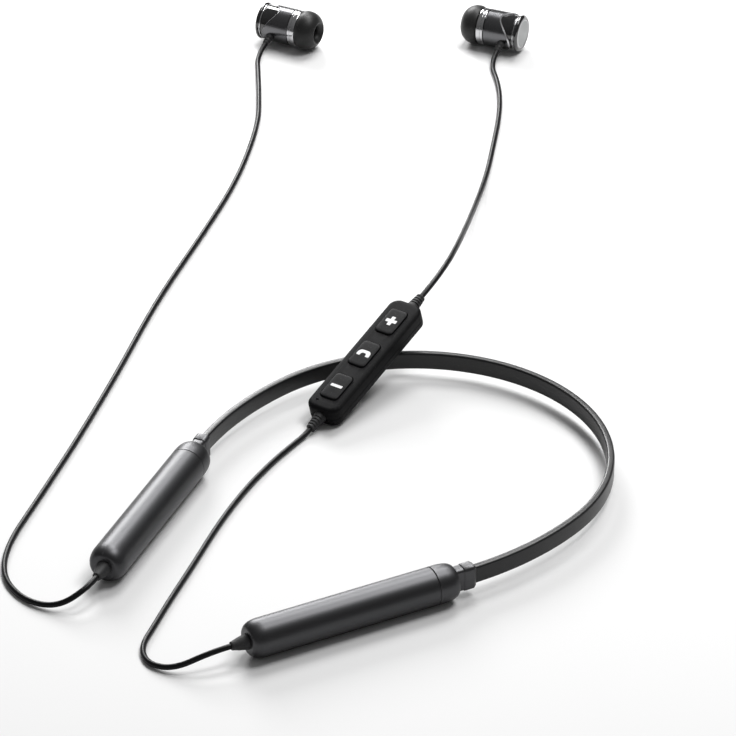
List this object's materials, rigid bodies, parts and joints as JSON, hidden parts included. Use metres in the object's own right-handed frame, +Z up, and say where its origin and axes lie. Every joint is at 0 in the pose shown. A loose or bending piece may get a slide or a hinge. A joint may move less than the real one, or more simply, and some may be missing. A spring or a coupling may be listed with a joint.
{
  "type": "neckband earphones",
  "caption": "Flexible neckband with tubular end pods, corded earbuds with silicone tips and an in-line button remote; the band spreads, the buttons press and a flap covers the charging port.",
  "frame": {"origin": "on the floor, at the centre of the band's rear arc", "axes": "+Z up off the floor, +Y towards the rear of the neckband, -Y towards its open side (the way the wearer faces), +X to the wearer's left"},
  "size_m": [0.3032, 0.3815, 0.0239],
  "materials": {
    "band_rubber": "satin, moulded silicone",
    "memory_metal": "drawn spring wire",
    "copper_leads": "soft insulated leads",
    "gunmetal": "satin anodised, fine brushing along the tube",
    "dark_metal": "dark gloss",
    "soft_rubber": "matte moulded strain relief",
    "cord_jacket": "glossy jacket",
    "black_gloss": "piano gloss",
    "black_matte": "fine moulded grain",
    "button_black": "soft-touch",
    "chrome_trim": "polished",
    "disc_alu": "circular brushed, bare",
    "tip_silicone": "smooth silicone with a soft sheen",
    "board_green": "solder-masked laminate",
    "chip_black": "moulded chips",
    "shell_steel": "pressed plate",
    "cell_foil": "wrapped foil",
    "tab_nickel": "thin strip",
    "mesh_steel": "woven mesh",
    "driver_metal": "pressed can"
  },
  "bodies": {
    "neckband": {"band_leads": "copper_leads", "left_bud_body": "black_gloss", "left_bud_gland": "soft_rubber", "left_bud_sleeve": "gunmetal", "left_driver": "driver_metal", "left_end_disc": "disc_alu", "left_end_ring": "black_gloss", "left_front_housing": "black_matte", "left_front_ring": "chrome_trim", "left_nozzle_mesh": "mesh_steel", "left_trim_ring": "chrome_trim", "lower_left_cord": "cord_jacket", "memory_wire": "memory_metal", "neckband_sleeve": "band_rubber", "remote_back_shell": "black_matte", "remote_board": "board_green", "remote_front_shell": "black_matte", "remote_lower_gland": "soft_rubber", "remote_microphone": "shell_steel", "remote_upper_gland": "soft_rubber", "right_bud_body": "black_gloss", "right_bud_gland": "soft_rubber", "right_bud_sleeve": "gunmetal", "right_cord": "cord_jacket", "right_driver": "driver_metal", "right_end_disc": "disc_alu", "right_end_ring": "black_gloss", "right_front_housing": "black_matte", "right_front_ring": "chrome_trim", "right_nozzle_mesh": "mesh_steel", "right_trim_ring": "chrome_trim", "tact_switches": "shell_steel", "upper_left_cord": "cord_jacket"},
    "left_arm": {"left_pod_shell": "gunmetal", "left_pod_cap": "gunmetal", "left_collar": "dark_metal", "left_wire_anchor": "shell_steel", "left_pod_gland": "soft_rubber", "left_chassis": "black_matte", "main_board": "board_green", "board_chips": "chip_black", "usb_receptacle": "shell_steel", "usb_tongue": "black_matte"},
    "right_arm": {"right_pod_shell": "gunmetal", "right_pod_cap": "gunmetal", "right_collar": "dark_metal", "right_wire_anchor": "shell_steel", "right_pod_gland": "soft_rubber", "right_chassis": "black_matte", "battery_cell": "cell_foil", "battery_board": "board_green", "battery_tabs": "tab_nickel"},
    "volume_down": {"volume_down_button": "button_black"},
    "call": {"call_button": "button_black"},
    "volume_up": {"volume_up_button": "button_black"},
    "port_flap": {"port_cover": "soft_rubber"},
    "left_tip": {"left_ear_tip": "tip_silicone"},
    "right_tip": {"right_ear_tip": "tip_silicone"}
  },
  "joints": [
    {"name": "left_arm_flex", "type": "hinge", "parent": "neckband", "child": "left_arm", "pos_m": [0.06077, 0.00532, 0.006], "axis": [0, 0, 1], "range_deg": [-5, 15], "stiffness_Nm_per_rad": 0.6, "deforming": ["neckband_sleeve", "memory_wire", "band_leads", "lower_left_cord"]},
    {"name": "right_arm_flex", "type": "hinge", "parent": "neckband", "child": "right_arm", "pos_m": [-0.06077, 0.00532, 0.006], "axis": [0, 0, -1], "range_deg": [-5, 15], "stiffness_Nm_per_rad": 0.6, "deforming": ["neckband_sleeve", "memory_wire", "band_leads", "right_cord"]},
    {"name": "volume_down_press", "type": "slide", "parent": "neckband", "child": "volume_down", "axis": [-0.0347, 0.2828, -0.9585], "range_m": [0, 0.0004], "stiffness_N_per_m": 3000},
    {"name": "call_press", "type": "slide", "parent": "neckband", "child": "call", "axis": [-0.0347, 0.2828, -0.9585], "range_m": [0, 0.0004], "stiffness_N_per_m": 3000},
    {"name": "volume_up_press", "type": "slide", "parent": "neckband", "child": "volume_up", "axis": [-0.0347, 0.2828, -0.9585], "range_m": [0, 0.0004], "stiffness_N_per_m": 3000},
    {"name": "port_cover_hinge", "type": "hinge", "parent": "left_arm", "child": "port_flap", "pos_m": [0.03373, -0.07964, 0.006], "axis": [0, 0, 1], "range_deg": [0, 100], "stiffness_Nm_per_rad": 0.0004},
    {"name": "left_tip_pull", "type": "slide", "parent": "neckband", "child": "left_tip", "axis": [-0.9521, -0.3057, 0], "range_m": [0, 0.01]},
    {"name": "right_tip_pull", "type": "slide", "parent": "neckband", "child": "right_tip", "axis": [0.9711, 0.2385, 0], "range_m": [0, 0.01]}
  ]
}
